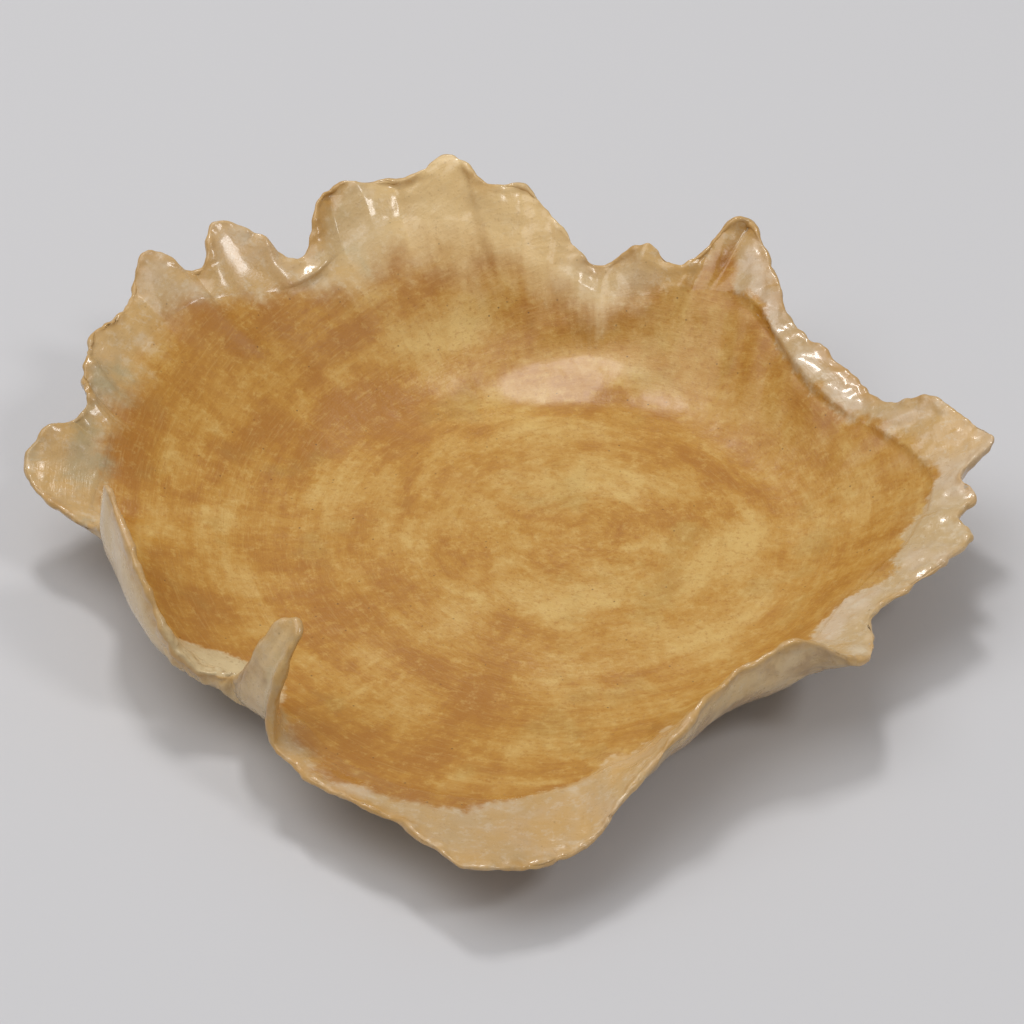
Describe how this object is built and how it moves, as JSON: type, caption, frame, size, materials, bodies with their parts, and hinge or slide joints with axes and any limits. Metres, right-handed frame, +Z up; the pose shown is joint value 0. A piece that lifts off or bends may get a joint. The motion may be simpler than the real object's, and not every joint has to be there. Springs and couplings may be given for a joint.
{
  "type": "ring dish",
  "caption": "Small hand-made ceramic ring dish: a shallow round well with a thin torn and ruffled rim, ochre glaze inside and pale pearl glaze over the lip and outside.",
  "frame": {"origin": "centre of the flat foot, on the plane the dish stands on", "axes": "+Z up out of the well, the long front tip of the rim towards -Y, +X to the right when seen from the front tip"},
  "size_m": [0.1039, 0.1044, 0.0221],
  "materials": {
    "clay": "bare fired stoneware, matte and slightly gritty",
    "ochre": "satin ochre glaze, brushed in rings, blotched and lightly speckled",
    "pearl": "glossy pale beige glaze with a pearly sheen and an amber line along the torn edge"
  },
  "bodies": {
    "root": {"clay_body": "clay", "ochre_glaze": "ochre", "pearl_glaze": "pearl"}
  },
  "joints": []
}
